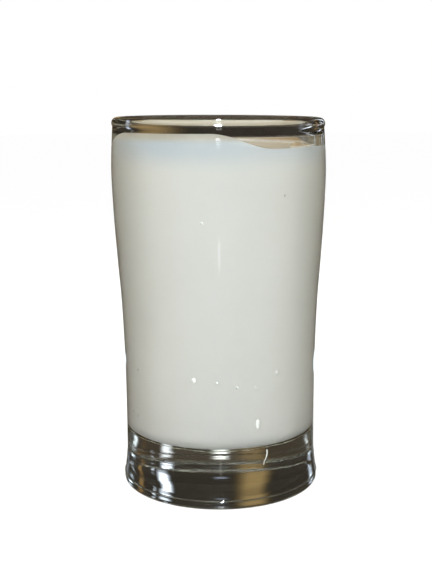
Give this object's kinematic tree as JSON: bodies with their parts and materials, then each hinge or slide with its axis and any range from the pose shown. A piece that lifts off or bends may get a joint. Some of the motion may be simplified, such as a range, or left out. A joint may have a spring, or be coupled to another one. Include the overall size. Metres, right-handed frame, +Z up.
{
  "type": "glass of milk",
  "caption": "Clear heavy-base glass tumbler with a rolled rim, slightly bulged bowl and spread foot, filled with white milk to just under the rim.",
  "frame": {"origin": "middle of the underside, on the plane that the glass stands on", "axes": "+Z up along the axis of the glass, -Y towards the side that the picture shows, +X to the right as seen from there"},
  "size_m": [0.0712, 0.0712, 0.124],
  "materials": {
    "clear_glass": "clear soda-lime glass, fire-polished, faintly rippled",
    "milk": "opaque whole milk, wet and glossy on top"
  },
  "bodies": {
    "root": {"tumbler": "clear_glass", "milk": "milk"}
  },
  "joints": []
}
